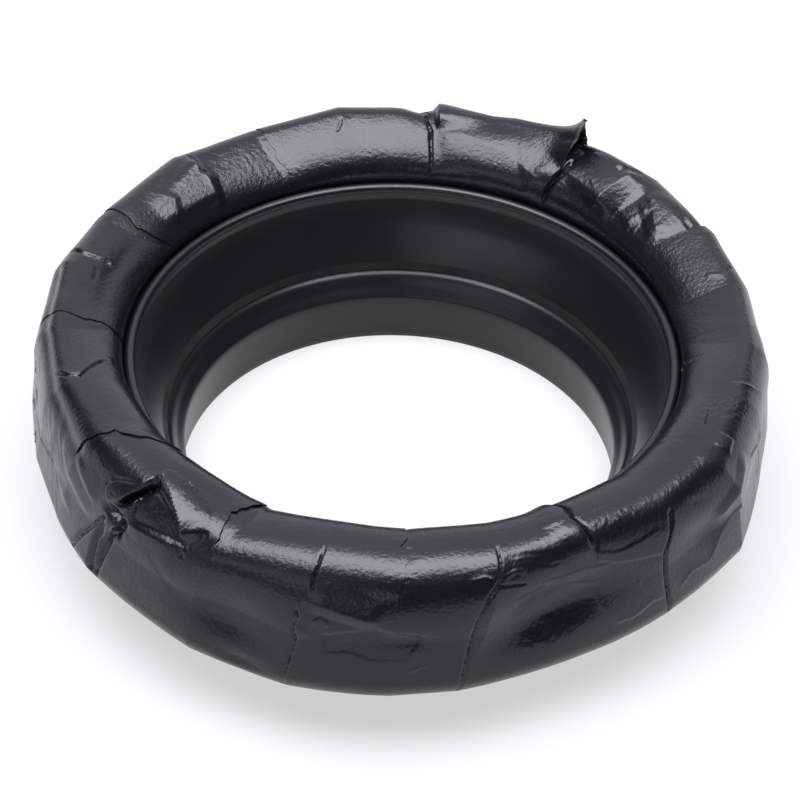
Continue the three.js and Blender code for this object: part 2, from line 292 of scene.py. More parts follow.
def ring_point(angle, run):
    """Points on the ring's plain form, for a grid of angles in degrees, one row a run in millimetres."""
    station = station_of(run)
    corners = fold_angles(station)
    past = np.mod(angle[:, :, None] - corners[:, None, :], 360)
    at = np.argmin(past, axis=2)
    after = (at + 1) % len(FOLDS)
    rows = np.arange(len(run))[:, None]
    turn = np.mod(corners[rows, after] - corners[rows, at], 360)
    part = np.take_along_axis(past, at[:, :, None], 2)[:, :, 0] / turn
    reach = lerp(fold_reach[at], fold_reach[after], part)
    height = lerp(fold_height[at], fold_height[after], part)
    radius, z = ring_section(station[:, None] + 0 * angle, reach, height, angle)
    flat = PANEL_FLATNESS * (ease(station, *FLAT_FROM) * (1 - ease(station, *FLAT_TO)))[:, None]
    at_front = ease(-np.sin(np.radians(angle)), *ROUNDER_SINES)
    flat = flat * (1 - SIDE_ROUNDING * at_front * ease(station, *ROUNDER_STATIONS)[:, None])
    chord = np.cos(np.radians(turn / 2)) / np.cos(np.radians(turn * (part - 0.5)))
    radius = radius * lerp(1, chord, flat)
    return np.stack([radius * np.cos(np.radians(angle)), radius * np.sin(np.radians(angle)), z], -1)


def grid_normals(points):
    """Outward normals of a grid of points."""
    across = np.gradient(points, axis=1)
    along = np.gradient(points, axis=0)
    normal = np.cross(along, across)
    return normal / (np.linalg.norm(normal, axis=-1, keepdims=True) + 1e-12)


MASTIC_DEPTH = 4.5
MASTIC_SIDES = 180
MASTIC_COLOUR = (0.012, 0.011, 0.011, 1.0)
MASTIC_ROUGHNESS = (0.6, 0.85)


def dull_mastic():
    """Dull black mastic with a lumpy skin."""
    material, tree, shader = new_material("dull_mastic")
    noise = add_grain(tree, fine=900, broad=150)
    shader.inputs["Base Color"].default_value = MASTIC_COLOUR
    dullness = spread(tree, noise.outputs["Broad"], 0.3, 0.7, *MASTIC_ROUGHNESS)
    tree.links.new(dullness, shader.inputs["Roughness"])
    add_bump(tree, shader, noise.outputs["Fine"], 0.5, 0.0004)
    return material


def mastic_body():
    """The mastic as a closed ring: the film's plain form, taken in by the depth of the film's dents."""
    run = np.linspace(0, FULL_RUN, 61)
    angle = np.tile(np.linspace(0, 360, MASTIC_SIDES + 1), (len(run), 1))
    form = ring_point(angle, run)
    form = (form - MASTIC_DEPTH * grid_normals(form))[:, :-1]
    rows, columns = form.shape[:2]
    faces = []
    for i in range(rows):
        for j in range(columns):
            up, along = (i + 1) % rows * columns, (j + 1) % columns
            faces.append((i * columns + j, up + j, up + along, i * columns + along))
    return closed_mesh("mastic", form.reshape(-1, 3), faces)


mastic = mastic_body()
mastic.data.materials.append(dull_mastic())
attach(mastic, "root")
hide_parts("mastic_ring")


# Film turns
# Thin glossy black film, wound round the ring in twelve overlapping turns. Each turn starts under
# the one before it, is drawn flat between its folds, and its ragged end stands off the next turn.

# Each turn's ragged end, as angle in degrees and run in millimetres from the film's inner edge
SEAMS = [
    [(5.2, 0), (3, 6.5), (2.8, 12.5), (2.5, 16), (4.5, 22), (1.5, 30), (0, 44)],
    [(30.8, 0), (31.2, 3), (30.5, 6), (30.2, 8.5), (28.5, 14), (28.2, 17.5), (28, 32), (28, 44)],
    [(60.8, 0), (59.8, 3.5), (59, 5.8), (58, 8), (57.8, 14), (59, 16.8), (58.5, 25), (57, 44)],
    [(84.8, 0), (84.8, 2), (85, 5), (85.5, 8), (86, 12), (87.2, 14.8), (89, 20), (90, 44)],
    [(115.5, 0), (116, 3), (116.2, 5.8), (117, 8.5), (117.5, 10.5), (117.8, 16.5), (119, 44)],
    [(147.8, 0), (149.8, 4.2), (151.2, 6.2), (153, 10.5), (152.2, 15.8), (151, 32), (150, 44)],
    [(182.2, 0), (182, 4.8), (182.2, 8.8), (182, 12.8), (181, 18), (179.5, 21.8), (181, 32), (181, 44)],
    [(225, 0), (223, 5), (219.5, 9), (217.5, 12.2), (216, 14.8), (214, 18.5), (211.5, 23.8), (208, 44)],
    [(246, 0), (243, 10.2), (242.5, 13.8), (241.9, 17), (241.8, 20.2), (241, 28), (240, 44)],
    [(272, 0), (272, 9.5), (271, 13.5), (272.2, 17), (271.2, 18), (271.8, 19.2), (270.5, 23), (270, 44)],
    [(297, 0), (300.2, 9.2), (299.5, 13.5), (300.2, 16.8), (301, 19.8), (301.5, 22.5), (304, 44)],
    [(327.5, 0), (327.5, 4), (329.5, 10.5), (331, 17), (331.8, 22), (332, 32), (333, 44)],
]

# Which of the seams the loose tail is at, and by how many degrees the torn edges wander
LOOSE_TAIL = 2
RAGGED_EDGE = 0.28

# The run as far as which each seam stands open, and how far its edge then stands off the turn below
SEAM_END = (26, 34, 36, 34, 34, 34, 24.5, 25, 21.5, 24.5, 24, 23)
EDGE_LIFT = (0.10, 0.10, 0.55, 0.12, 0.10, 0.14, 0.12, 0.22, 0.20, 0.08, 0.45, 0.20)
UNEVEN_LIFT = 0.45
EDGE_LIFT_RUN = 7.0
LAP_UNDER = 3.2

# The film's thickness, with that of its edge and the depth of the lap under it, shut and open
FILM_THICKNESS = 0.9
EDGE_THICKNESS = (0.04, 0.14)
EDGE_THIN_RUN = 5
LAP_SUNK = (0.03, 0.10)

# A point every so many millimetres as far as the heel, fewer below it, and fewer on the inner face
GRID = 0.3
HEEL_END = 54
UNDERSIDE_GRID = 1.5
BACK_STEP = 4
DEGREES_A_MM = 360 / (tau * 68)

# Height of the film's broad and middling unevenness, and the runs over which relief and edges' lift
# come in at the inner edge and go out at the heel
LOW_RELIEF, MID_RELIEF = 0.08, 0.011
RELIEF_STARTS, RELIEF_ENDS = (0, 2.5), (46, 53)
LIFT_STARTS, LIFT_ENDS = (0, 3), (44, 52)


def smooth_noise(seed, waves, shortest, longest):
    """A function of points in millimetres: seeded noise about 0, made of waves in all directions."""
    rng = np.random.default_rng(seed)
    direction = rng.normal(size=(waves, 3))
    direction /= np.linalg.norm(direction, axis=1)[:, None]
    length = np.exp(rng.uniform(np.log(shortest), np.log(longest), waves))
    phase = rng.uniform(0, tau, waves)
    share = length / np.sqrt(np.sum(length ** 2) / 2)

    def noise(points):
        total = np.zeros(points.shape[:-1])
        for i in range(waves):
            total += share[i] * np.cos(points @ direction[i] * (tau / length[i]) + phase[i])
        return total

    return noise


def seam_angle(index, run):
    """Where a turn's edge runs, with the film's torn raggedness on top of the line drawn for it."""
    line = SEAMS[index % len(SEAMS)]
    plain = np.interp(run, [point[1] for point in line], [point[0] for point in line])
    ragged = smooth_noise(100 + index % len(SEAMS), 14, 0.7, 9)
    points = np.stack([run, 0 * run, 0 * run], -1)
    visible = ease(run, 0, 3) * (1 - ease(run, 40, 50))
    return plain + RAGGED_EDGE * visible * ragged(points)


low_waves = smooth_noise(seed=1, waves=24, shortest=14, longest=34)
mid_waves = smooth_noise(seed=2, waves=40, shortest=3, longest=9)
run_marks = np.arange(0, 80, 0.5)
run_radius = np.interp(run_marks, section_runs, section_shape[:, 0])


def tapered(share, taper):
    """1 along a path, and down to 0 over a share of its length at each end."""
    return 1 if taper == 0 else ease(share, 0, taper) * (1 - ease(share, 1 - taper, 1))


class Sheet:
    """The grid of one turn while its marks are pressed in, and its height so far in millimetres. A mark's
    places are angles in degrees and runs in millimetres, and its widths and heights are millimetres."""

    def __init__(self, angle, run):
        self.angle, self.run = angle, np.broadcast_to(run[:, None], angle.shape)
        self.height = np.zeros(angle.shape)

    def nearby(self, path, margin):
        """The grid points near a path of angles and runs: their index, their place and the path's,
        both in millimetres from the path's middle."""
        path = np.array(path, float)
        middle = (path.min(axis=0) + path.max(axis=0)) / 2
        scale = radians(1) * np.interp(middle[1], run_marks, run_radius)
        flat = np.stack([(path[:, 0] - middle[0]) * scale, path[:, 1] - middle[1]], -1)
        reach = np.abs(flat).max(axis=0) + margin
        around = (np.mod(self.angle - middle[0] + 180, 360) - 180) * scale
        along = self.run - middle[1]
        index = np.nonzero((np.abs(around) < reach[0]) & (np.abs(along) < reach[1]))
        return index, np.stack([around[index], along[index]], -1), flat

    def crease(self, path, width, height, taper=0.15):
        """A narrow groove along a path, or a ridge if its height is above 0, that thins out at its ends."""
        index, place, flat = self.nearby(path, 3 * width)
        distance, share, _ = path_distance(place, flat)
        self.height[index] += height * np.exp(-(distance / width) ** 2) * tapered(share, taper)

    def tent(self, path, left, right, height, taper=0.25):
        """A crest that falls away in flat facets, so wide to the left and to the right of its path."""
        index, place, flat = self.nearby(path, max(left, right))
        distance, share, side = path_distance(place, flat)
        fall = np.clip(1 - distance / np.where(side > 0, left, right), 0, 1)
        self.height[index] += height * fall * tapered(share, taper)

    def lip(self, path, height, fall, taper=0.15):
        """A torn or folded edge: the film on the left of the path stands up at it, and falls away behind."""
        index, place, flat = self.nearby(path, 4 * fall)
        distance, share, side = path_distance(place, flat)
        signed = distance * side
        up = ease(signed, -0.3, 0.3) * np.exp(-np.maximum(signed, 0) / fall)
        self.height[index] += height * up * tapered(share, taper)

    def plate(self, outline, height, edge=0.3, tilt=(0, 0)):
        """A patch with a crisp outline that stands up or lies pressed in, and may be tilted."""
        index, place, flat = self.nearby(outline, 2 * edge)
        distance, _, _ = path_distance(place, np.concatenate([flat, flat[:1]]))
        inside = inside_outline(place, flat)
        share = ease(np.where(inside, distance, -distance), -edge, edge)
        self.height[index] += share * (height + place @ np.array(tilt))

    def dent(self, centre, size, height, turn=0, power=2):
        """A soft hollow, or a bulge if its height is above 0, so long and so wide from its middle. A third
        size is its width below the middle, if it differs from the width above."""
        index, place, _ = self.nearby([centre], max(size) * 2.4)
        c, s = cos(radians(turn)), sin(radians(turn))
        x, y = place[:, 0] * c + place[:, 1] * s, place[:, 1] * c - place[:, 0] * s
        x, y = x / size[0], y / np.where(y < 0, size[1], size[-1])
        self.height[index] += height * np.exp(-np.hypot(x, y) ** power)

    def wrinkles(self, centre, size, height, length, turn, seed, scatter=25):
        """Fine wrinkles over an oval area. Each is long along its turn and its ridges are a length apart."""
        index, place, _ = self.nearby([centre], max(size) * 1.5)
        rng = np.random.default_rng(seed)
        c, s = cos(radians(turn)), sin(radians(turn))
        x, y = place[:, 0] * c + place[:, 1] * s, place[:, 1] * c - place[:, 0] * s
        total = np.zeros(len(x))
        for _ in range(22):
            way = radians(90 + rng.normal() * scatter)
            wave = length * np.exp(rng.uniform(-0.5, 0.7))
            total += np.cos((x * cos(way) + y * sin(way)) * tau / wave + rng.uniform(0, tau)) * wave / length
        mask = np.exp(-np.hypot(x / size[0], y / size[1]) ** 4)
        self.height[index] += height * mask * total / 4


def path_distance(place, path):
    """Distance to a path, how far along it the nearest point is from 0 to 1, and 1 on its left or -1."""
    lengths = np.linalg.norm(np.diff(path, axis=0), axis=1)
    starts = np.r_[0, np.cumsum(lengths)]
    best, share, side = np.full(len(place), 1e9), np.zeros(len(place)), np.ones(len(place))
    for start, end, length, before in zip(path[:-1], path[1:], lengths, starts):
        way = (end - start) / max(length, 1e-9)
        offset = place - start
        along = np.clip(offset @ way, 0, length)
        distance = np.linalg.norm(offset - along[:, None] * way, axis=1)
        nearer = distance < best
        best[nearer] = distance[nearer]
        share[nearer] = (before + along[nearer]) / starts[-1]
        turned = way[0] * offset[:, 1] - way[1] * offset[:, 0]
        side[nearer] = np.where(turned[nearer] > 0, 1, -1)
    return best, share, side


def inside_outline(place, outline):
    """Which places lie inside a closed outline."""
    inside = np.zeros(len(place), bool)
    for start, end in zip(outline, np.roll(outline, -1, axis=0)):
        crosses = (start[1] > place[:, 1]) != (end[1] > place[:, 1])
        at = start[0] + (place[:, 1] - start[1]) / (end[1] - start[1] + 1e-12) * (end[0] - start[0])
        inside ^= crosses & (place[:, 0] < at)
    return inside


def mark_back_right(sheet):
    """Right of the loose tail: crumpled facets, a pulled groove and a short crack."""
    sheet.tent([(48.2, 4), (47.4, 8.4), (46.4, 11.5), (45.0, 16.4)], 5.0, 10.5, 1.7)
    sheet.tent([(40.5, 15.5), (38.5, 12.8), (34, 10.2), (31.2, 8.2)], 3.0, 6, 0.75)
    sheet.tent([(39.6, 5), (38.8, 8.2), (38.2, 12)], 1.4, 6, 0.3)
    sheet.crease([(39, 13.4), (36, 11.8), (33, 10.2), (30.4, 8.2)], 0.3, -0.12)
    sheet.crease([(60.4, 0.5), (59.4, 3.5), (58.6, 5.8), (57.6, 8), (57.4, 12)], 0.45, -0.8, 0.2)
    sheet.crease([(48.4, 13.0), (47, 15.2), (45.4, 17.4)], 1.0, -0.6)
    sheet.wrinkles((53.5, 9), (5, 4), 0.02, 2.2, 15, 31)
    sheet.wrinkles((37, 9), (6, 5), 0.012, 1.3, 80, 32, 12)
    sheet.lip([(18.2, 12.2), (17.2, 14.2), (16.8, 15.4), (18.4, 17.6)], 0.2, 0.8)
    sheet.crease([(16.8, 15.2), (17.0, 16.2), (18.6, 18.2)], 0.25, -0.3)


def mark_tail_panel(sheet):
    """The panel that runs out into the loose tail: a diagonal crease and a shallow trough behind it."""
    sheet.tent([(85.5, 10.4), (80, 11.0), (76.5, 10.4), (70, 8.2), (64.8, 5.8), (60.5, 3.8)],
               7, 5, 0.55, 0.12)
    sheet.tent([(84.6, 11), (85.2, 16), (86.4, 23)], 11, 1.0, 1.3, 0.3)
    sheet.dent((73, 15.0), (8, 2.6), -0.5, -4)
    sheet.wrinkles((70, 12), (8, 5), 0.009, 2.5, 75, 33, 12)


def mark_back(sheet):
    """The two smooth panels at the back: a thumb mark, a short crack and streaks by the seams."""
    sheet.dent((94, 9.4), (2.3, 1.9), -0.16)
    sheet.dent((88.4, 19.0), (3.0, 4.2), -1.2)
    sheet.crease([(85.3, 1.0), (85.8, 6), (86.4, 11), (87.8, 15), (89.6, 21)], 0.32, -0.45, 0.25)
    sheet.crease([(103.2, 14.2), (103.6, 12.6), (104.6, 11)], 0.3, -0.3)
    sheet.lip([(104.8, 10.6), (103.6, 12.6), (103.2, 14.6)], 0.22, 0.8)
    sheet.wrinkles((88.5, 9), (1.8, 4.5), 0.014, 1.2, 90, 34, 8)
    sheet.wrinkles((119.6, 11), (2.4, 5), 0.014, 1.3, 78, 35, 8)
    sheet.wrinkles((101, 7), (13, 5), 0.012, 3.4, 88, 36, 10)


def mark_back_left(sheet):
    """Back left: facets that slope to the left, streaked with fine wrinkles, and a short crack."""
    sheet.tent([(134.6, 3), (133.4, 9.5), (134.6, 16)], 2.4, 14, 1.6)
    sheet.tent([(145.4, 5), (142.6, 10), (145.4, 15.5)], 1.4, 6.5, 0.28)
    sheet.wrinkles((142, 12.5), (9, 4), 0.014, 2.2, 62, 37, 12)
    sheet.wrinkles((126, 11), (6, 4), 0.01, 2.6, 70, 38, 30)
    sheet.crease([(133.2, 17.4), (133.1, 13.6), (133.9, 11.2), (132.4, 10.4)], 0.28, -0.4)
    sheet.lip([(133.2, 17.4), (133.1, 13.6), (133.9, 11.2)], 0.2, 0.9)


def mark_left(sheet):
    """Left: two short cracks with curled lips, a long soft hollow, and the groove along the shoulder."""
    sheet.crease([(164.6, 20.4), (166.2, 14.6), (165.3, 10.4), (165.9, 9.2)], 0.4, -0.5)
    sheet.lip([(165.9, 9.2), (165.3, 10.4), (166.2, 14.6), (164.6, 20)], 0.25, 0.9)
    sheet.crease([(168, 11.6), (170, 11.2), (172.2, 11.6)], 0.35, -0.18)
    sheet.dent((166.5, 8.6), (10, 1.9), -0.42)
    sheet.crease([(195.2, 20.6), (197.8, 17.8), (199, 15), (198, 12.8), (193.6, 6.4)], 0.3, -0.45)
    sheet.lip([(193.6, 6.4), (198, 12.8), (199, 15), (197.8, 17.8), (195.2, 20.6)], 0.32, 0.8)
    sheet.dent((194.2, 6.4), (1.2, 0.9), 0.3)
    sheet.crease([(166, 20.6), (175, 20.8), (186, 20.8), (198, 21.8), (208, 23.4), (218, 23.6)],
                 1.5, -0.55, 0.1)
    sheet.wrinkles((208, 20.5), (8, 3.4), 0.02, 0.6, 30, 39, 90)
    sheet.crease([(188.6, 37.4), (196, 36.4), (204, 34)], 0.3, -0.22)
    for seed, (angle, run) in enumerate([(184, 31), (185, 39), (190.5, 41.8), (187, 35)]):
        sheet.wrinkles((angle, run), (1.3, 1.5), 0.12, 0.8, 40 * seed, 40 + seed, 70)


def mark_torn_fold(sheet):
    """Lower left: a torn fold with its pulled triangle, its hole, its cracks and the folds drawn to it."""
    sheet.tent([(228.0, 16.4), (232.6, 18.0), (236.8, 20.4), (238.4, 22.8)], 0.9, 5.0, 2.6, 0.12)
    sheet.plate([(228.4, 17.0), (232, 18.6), (234.8, 19.6), (236.8, 21.0), (238.2, 23.6), (235.4, 24.2),
                 (231.5, 25.0), (227.6, 26.0), (227.2, 22.4)], -0.7, 0.7)
    sheet.tent([(226.6, 26.8), (231.5, 25.9), (236.4, 25.0)], 2.4, 1.2, 0.22)
    sheet.crease([(237.2, 24.4), (238.0, 25.6)], 0.3, -0.4)
    for offset, depth in ((0, -0.05), (1.3, -0.07), (2.6, -0.04)):
        sheet.crease([(229.6, 19.6 + offset * 0.4), (233 + offset * 0.4, 22.6), (235 + offset * 0.5, 24.2)],
                     0.3, depth)
    sheet.plate([(221.4, 22.2), (223.6, 21.0), (226.8, 19.6), (226.2, 22.0), (224.8, 23.7), (222.5, 25.4),
                 (221.0, 24.0)], 0.35, 0.35, (0.0, 0.17))
    sheet.wrinkles((223.8, 22.6), (2.4, 2.2), 0.05, 0.5, 0, 46, 90)
    sheet.crease([(221.2, 25.4), (221.0, 23.2), (222.2, 21.4), (224.4, 20.2), (227, 19.0)], 0.3, -0.35)
    sheet.crease([(230.4, 16.6), (228.8, 18.8), (227.2, 21.3), (225.4, 23.8), (223.4, 25.8)], 0.6, -2.2, 0.3)
    sheet.crease([(228.5, 19.2), (227.4, 22.0), (226.4, 25.2), (225.2, 28.4), (223.6, 31)], 0.24, 0.8, 0.15)
    sheet.dent((224.4, 27.2), (2.5, 1.3), -1.9, 6, 2.6)
    sheet.dent((223.9, 28.1), (0.8, 0.4), 0.6)
    sheet.crease([(222.4, 28.4), (220.4, 31.5), (216.5, 38), (213.2, 45)], 0.45, -0.8, 0.05)
    sheet.crease([(221.6, 30), (220.4, 35.5), (219.0, 45)], 0.75, -1.1, 0.05)
    sheet.crease([(226.4, 27.4), (225.2, 30.4), (223.6, 32.2), (222, 38), (220.2, 45)], 0.62, -1.0, 0.05)
    sheet.dent((225.4, 30.6), (1.0, 0.7), -0.7, 30)
    sheet.tent([(221.3, 33), (221.2, 37), (219.9, 43)], 0.8, 0.8, 0.35)
    sheet.tent([(211.6, 23.4), (215.5, 26.2), (219.8, 28.6)], 1.3, 4, 0.5)
    sheet.tent([(206.0, 25.4), (212.0, 29.6), (218.6, 32.6)], 1.6, 5, 0.35)
    sheet.tent([(200.0, 28.0), (206.5, 33.4), (213.0, 37.6)], 2.2, 6, 0.4)
    sheet.wrinkles((204, 33), (11, 8), 0.035, 2.6, 62, 45, 12)
    for angle, run in ((227.8, 40.5), (235, 27), (233.0, 15.6), (235.4, 15.0), (233, 12.8), (214.6, 32.5)):
        sheet.wrinkles((angle, run), (0.7, 0.6), 0.08, 0.6, 0, int(run * 10), 80)
    sheet.dent((234.5, 31.5), (4.5, 1.2), -0.12, 40)


def mark_front_left(sheet):
    """Front left of the middle: a crescent dent, a short crack, a pressed patch and a flaked seam."""
    sheet.dent((245.5, 35.2), (9, 9, 4.4), -1.6, 10)
    sheet.dent((236.0, 30.5), (7, 4), 0.35, -30)
    sheet.crease([(259.2, 16.4), (258.9, 19.5), (258.6, 21.5), (258.6, 24)], 0.26, -0.5)
    sheet.lip([(259.2, 16.4), (258.9, 19.5), (258.6, 21.5), (258.6, 24)], 0.12, 0.9)
    sheet.tent([(257.0, 24.8), (261.2, 26.0), (266.2, 27.6), (270, 28.0)], 2.2, 4.6, 0.85)
    sheet.crease([(256.4, 26.8), (256.9, 29), (256.2, 31.6), (256.8, 33.8), (256, 39), (254.9, 47)],
                 0.24, -0.4, 0.05)
    sheet.plate([(256.6, 30.2), (258.0, 31.2), (258.4, 32.4), (257.4, 33.4), (256.4, 32.6)], 0.16, 0.3)
    sheet.lip([(258.6, 29.6), (260.2, 28.0), (261.7, 29.8)], 0.3, 1.0)
    sheet.plate([(260.4, 32), (261.1, 35.9), (264.5, 35.3), (267, 36.6), (272.2, 36.6), (273.4, 34.4),
                 (274.6, 31.8), (268, 29.6)], -0.2, 0.4, (0, 0.02))
    sheet.dent((272.2, 32.4), (5.0, 1.8), -0.45, 4)
    sheet.crease([(272.3, 39.6), (275.2, 38)], 0.3, 0.14)
    sheet.dent((248.5, 43), (5, 1.6), -0.7, 2)


def mark_front_right(sheet):
    """Front right of the middle: star folds at a crack, flaked plies, and a grainy pressed area."""
    sheet.crease([(286.3, 15.8), (286.2, 19), (285.6, 22), (284, 24.4), (282.4, 29), (281.2, 36),
                  (279.6, 47)], 0.25, -0.4, 0.04)
    sheet.tent([(280.8, 21.4), (283.6, 20.9), (285.4, 22.0)], 0.8, 0.6, 0.22)
    sheet.tent([(286, 21.7), (288.4, 20.8), (290.4, 21.6)], 0.8, 0.6, 0.2)
    sheet.crease([(285.3, 22.6), (287.4, 23.2), (290.4, 24.2)], 0.26, -0.3)
    for offset in (0, 0.9, 1.9):
        sheet.crease([(286.8, 18.4 + offset), (291, 18.9 + offset), (296.4, 20.6 + offset)], 0.4, -0.12)
    sheet.lip([(287.3, 27.4), (292.4, 26.6), (296, 27.9), (303.6, 30.4)], 0.22, 1.1)
    sheet.lip([(292.2, 25), (295.8, 25.7), (300, 25.6), (305.6, 26.6)], 0.2, 0.9)
    sheet.plate([(301.8, 22.6), (306, 24.3), (309.6, 23.9), (313.4, 23.0), (315.6, 24.5), (313.8, 29),
                 (306, 27), (302.4, 25)], 0.2, 0.35)
    sheet.dent((295.0, 32.6), (14, 8, 5.2), -2.9, -12)
    sheet.wrinkles((293.5, 36), (9, 4.5), 0.016, 1.2, 5, 50, 70)
    sheet.lip([(315.4, 40.4), (312.2, 39.3), (308.3, 40.7), (305.2, 40.2), (302.5, 35.3), (301.9, 31)],
              0.3, 1.4)
    sheet.crease([(316.6, 20.4), (316.1, 23.4), (314.3, 29), (314.4, 34.2), (315, 40), (315.9, 46)],
                 0.34, -0.7, 0.05)
    sheet.crease([(298.4, 1.5), (300.9, 9.2), (300.2, 13.5), (300.9, 16.8), (301.7, 19.8), (302.2, 22.5)],
                 0.5, -0.9, 0.1)
    sheet.wrinkles((305, 17), (8, 3.5), 0.02, 0.8, 20, 51, 60)
    sheet.dent((309.5, 33.5), (0.35, 0.35), 0.2)


def mark_right(sheet):
    """Right: a bright pulled corner, a scratch, a wavy loose ply on the side and a glossy strip."""
    sheet.lip([(334.8, 33.4), (331, 32.6), (329.2, 33.8), (326.8, 36), (324.4, 39.2), (320, 38.2),
               (317.6, 41)], 0.55, 1.5)
    sheet.dent((323, 31), (6, 3.2), -0.8, 20)
    sheet.tent([(337, 24), (331, 27.6), (325, 31)], 2.6, 3.4, 0.6)
    sheet.plate([(331.8, 17.8), (334.6, 17.4), (335.2, 20.2), (332.6, 20.8)], 0.3, 0.35, (0.05, 0.12))
    sheet.crease([(339.8, 11.6), (337, 12.6), (334.2, 13.9)], 0.24, 0.26)
    sheet.lip([(347, 14.8), (348.4, 18.2), (350.6, 24.4)], 0.3, 0.7)
    sheet.crease([(338.2, 27), (342, 28.6), (345.6, 30.8)], 0.3, -0.3)
    sheet.wrinkles((341, 16), (6, 4), 0.04, 1.2, 40, 52, 60)
    sheet.wrinkles((346, 33), (8, 6), 0.06, 2.2, 70, 53, 18)
    sheet.dent((322.5, 23), (3, 0.7), -0.14, 20)
    sheet.dent((358, 19.5), (9, 1.8), -0.3, 2)
    sheet.wrinkles((356.5, 1.4), (5, 1.4), 0.12, 2.4, 90, 54, 20)


def film_relief(angle, run, points):
    """How far the film stands off its plain form, over a grid."""
    sheet = Sheet(angle, run)
    sheet.height += LOW_RELIEF * low_waves(points) + MID_RELIEF * mid_waves(points)
    for mark in (mark_back_right, mark_tail_panel, mark_back, mark_back_left, mark_left, mark_torn_fold,
                 mark_front_left, mark_front_right, mark_right):
        mark(sheet)
    return sheet.height * (ease(run, *RELIEF_STARTS) * (1 - ease(run, *RELIEF_ENDS)))[:, None]


# The loose tail rises in a long slope with a flick at its edge, over a hollow in the turn below. Each
# has its height and the length over which it falls off. Along the seam it starts, peaks and ends.
TAIL_RISE, TAIL_RISE_FALL = 1.9, 10
TAIL_FLICK, TAIL_FLICK_FALL = 2.3, 1.5
TAIL_HOLLOW, TAIL_HOLLOW_FALL = 2.4, 3.5
TAIL_RUNS = (8.0, 15.6, 25.0)
TAIL_LAP = 9.0


def tail_height(run):
    """The share of its full rise that the loose tail has along the seam."""
    low, middle, high = TAIL_RUNS
    tall = np.where(run < middle, (run - low) / (middle - low), (high - run) / (high - middle))
    return (np.clip(tall, 0, 1) ** 1.2)[:, None]


def tail_rise(distance, run):
    """How far the loose tail stands up, at a distance from its free edge."""
    distance = np.maximum(distance, 0)
    return tail_height(run) * (TAIL_RISE * np.exp(-distance / TAIL_RISE_FALL)
                               + TAIL_FLICK * np.exp(-distance / TAIL_FLICK_FALL))


def tail_hollow(distance, run):
    """How deep the turn below the loose tail lies, at a distance from one of its ends. Its first
    millimetre is level."""
    return TAIL_HOLLOW * tail_height(run) * np.exp(-np.maximum(distance - 1, 0) / TAIL_HOLLOW_FALL)


def open_share(seam, run):
    """Where along a seam its edge stands open: 1 as far as the seam's end, and 0 where it is pressed shut."""
    return (1 - ease(run, SEAM_END[seam] - 2.5, SEAM_END[seam] + 0.5))[:, None]


def edge_over(seam, run, distance, unevenness):
    """How far an edge on top stands off the turn below, and its share there of the film's thickness."""
    opened = open_share(seam, run)
    lift = EDGE_LIFT[seam] * unevenness * opened * (1 - ease(distance, 0, EDGE_LIFT_RUN))
    edge = lerp(*EDGE_THICKNESS, opened) / FILM_THICKNESS
    return lift, lerp(edge, 1, ease(distance, 0, EDGE_THIN_RUN))


def edge_under(seam, run, distance):
    """How deep an edge lies where it runs in under the turn on top of it."""
    opened = open_share(seam, run)
    sunk = 1 - lerp(ease(distance, -0.5, 0.02), ease(distance, -0.6, 1.6), opened)
    return lerp(*LAP_SUNK, opened) * sunk


def turn_grid(index):
    """One turn's runs, its grid of angles, and the grid's distances in millimetres from both its seams."""
    rows = int(HEEL_END / GRID / BACK_STEP) * BACK_STEP
    under_rows = int((FULL_RUN - HEEL_END) / UNDERSIDE_GRID / BACK_STEP + 1) * BACK_STEP
    run = np.r_[np.linspace(0, HEEL_END, rows + 1), np.linspace(HEEL_END, FULL_RUN, under_rows + 1)[1:]]
    first = seam_angle(index, run)
    last = seam_angle(index + 1, run) + (360 if index == len(SEAMS) - 1 else 0)
    begin = first if index == LOOSE_TAIL else first - LAP_UNDER * DEGREES_A_MM
    end = last + TAIL_LAP * DEGREES_A_MM if index + 1 == LOOSE_TAIL else last
    columns = int(np.max(end - begin) / DEGREES_A_MM / GRID / BACK_STEP + 1) * BACK_STEP
    share = np.linspace(0, 1, columns + 1)[None, :]
    angle = begin[:, None] + (end - begin)[:, None] * share
    return run, angle, (angle - first[:, None]) / DEGREES_A_MM, (last[:, None] - angle) / DEGREES_A_MM


def film_turn(index):
    """One turn of film as a closed thin body: a fine outer face, a coarse inner face and a rim. It starts
    under the turn before it and ends over the next, but the loose tail starts on top."""
    run, angle, from_first, to_last = turn_grid(index)
    base = ring_point(angle, run)
    normal = grid_normals(base)
    relief = film_relief(angle, run, base)
    unevenness = 1 + UNEVEN_LIFT * smooth_noise(200 + index, 8, 4, 18)(base)
    at_edges = (ease(run, *LIFT_STARTS) * (1 - ease(run, *LIFT_ENDS)))[:, None]
    rise, thickness = np.zeros_like(angle), FILM_THICKNESS
    tail_starts, tail_follows = index == LOOSE_TAIL, index + 1 == LOOSE_TAIL
    for over, distance, seam in ((tail_starts, from_first, index), (not tail_follows, to_last, index + 1)):
        seam %= len(SEAMS)
        if over:
            lift, share = edge_over(seam, run, distance, unevenness)
            rise += at_edges * lift
            thickness = thickness * share
        else:
            rise -= at_edges * edge_under(seam, run, distance)
    if tail_starts:
        rise += tail_rise(from_first, run)
    if tail_follows:
        rise -= tail_hollow(from_first, run) + tail_hollow(to_last, run)
    outer = base + normal * (relief + rise)[:, :, None]
    inner = base + normal * (lowest_nearby(relief) + rise - thickness)[:, :, None]
    return fine_shell(f"film_turn_{index + 1:02d}", outer, inner[::BACK_STEP, ::BACK_STEP])


